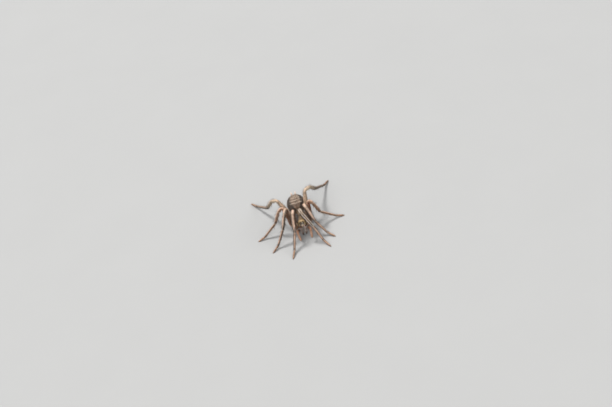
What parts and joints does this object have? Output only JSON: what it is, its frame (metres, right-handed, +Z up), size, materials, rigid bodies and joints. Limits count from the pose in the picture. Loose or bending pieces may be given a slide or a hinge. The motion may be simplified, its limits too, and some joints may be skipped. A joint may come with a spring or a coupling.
{
  "type": "funnel-web spider",
  "caption": "Life-size still model of a sheet-web funnel-weaver spider, front legs drawn up over the head, last pair reaching back, standing free on its soles.",
  "frame": {"origin": "on the floor, under the middle of the box around the whole spider with its legs", "axes": "the head looks along -Y, the spinnerets point along +Y, +X is the spider's own left, and +Z is up with the floor at z = 0"},
  "size_m": [0.0207, 0.0232, 0.0076],
  "materials": {
    "leg_brown": "satin orange-brown cuticle with fine pale hair",
    "leg_pale": "pale cream-brown cuticle of the feet with fine hair",
    "head_tan": "tan cuticle with two dark brown bands and short pale hair",
    "abdomen_brown": "dark brown skin under a dense coat, with pale chevrons on the back",
    "sternum_dark": "dark brown cuticle with a pale middle line",
    "jaw_red_brown": "glossy red-brown cuticle",
    "fang_black": "glossy dark red-black horn",
    "eye_black": "very glossy black lens",
    "spinneret_tan": "satin tan cuticle with fine hair"
  },
  "bodies": {
    "root": {"carapace": "head_tan", "eye_posterior_median_left": "eye_black", "eye_posterior_median_right": "eye_black", "eye_anterior_median_left": "eye_black", "eye_anterior_median_right": "eye_black", "eye_posterior_lateral_left": "eye_black", "eye_posterior_lateral_right": "eye_black", "eye_anterior_lateral_left": "eye_black", "eye_anterior_lateral_right": "eye_black", "chelicera_left": "jaw_red_brown", "fang_left": "fang_black", "palp_left_base": "leg_brown", "palp_left_tip": "leg_brown", "chelicera_right": "jaw_red_brown", "fang_right": "fang_black", "palp_right_base": "leg_brown", "palp_right_tip": "leg_brown", "sternum": "sternum_dark", "left_leg_1_coxa": "leg_brown", "left_leg_1_femur": "leg_brown", "left_leg_1_tibia": "leg_brown", "left_leg_1_foot": "leg_pale", "left_leg_2_coxa": "leg_brown", "left_leg_2_femur": "leg_brown", "left_leg_2_tibia": "leg_brown", "left_leg_2_foot": "leg_pale", "left_leg_3_coxa": "leg_brown", "left_leg_3_femur": "leg_brown", "left_leg_3_tibia": "leg_brown", "left_leg_3_foot": "leg_pale", "left_leg_4_coxa": "leg_brown", "left_leg_4_femur": "leg_brown", "left_leg_4_tibia": "leg_brown", "left_leg_4_foot": "leg_pale", "right_leg_1_coxa": "leg_brown", "right_leg_1_femur": "leg_brown", "right_leg_1_tibia": "leg_brown", "right_leg_1_foot": "leg_pale", "right_leg_2_coxa": "leg_brown", "right_leg_2_femur": "leg_brown", "right_leg_2_tibia": "leg_brown", "right_leg_2_foot": "leg_pale", "right_leg_3_coxa": "leg_brown", "right_leg_3_femur": "leg_brown", "right_leg_3_tibia": "leg_brown", "right_leg_3_foot": "leg_pale", "right_leg_4_coxa": "leg_brown", "right_leg_4_femur": "leg_brown", "right_leg_4_tibia": "leg_brown", "right_leg_4_foot": "leg_pale", "abdomen": "abdomen_brown", "spinneret_posterior_left": "spinneret_tan", "spinneret_posterior_right": "spinneret_tan", "spinneret_anterior_left": "spinneret_tan", "spinneret_anterior_right": "spinneret_tan"}
  },
  "joints": []
}
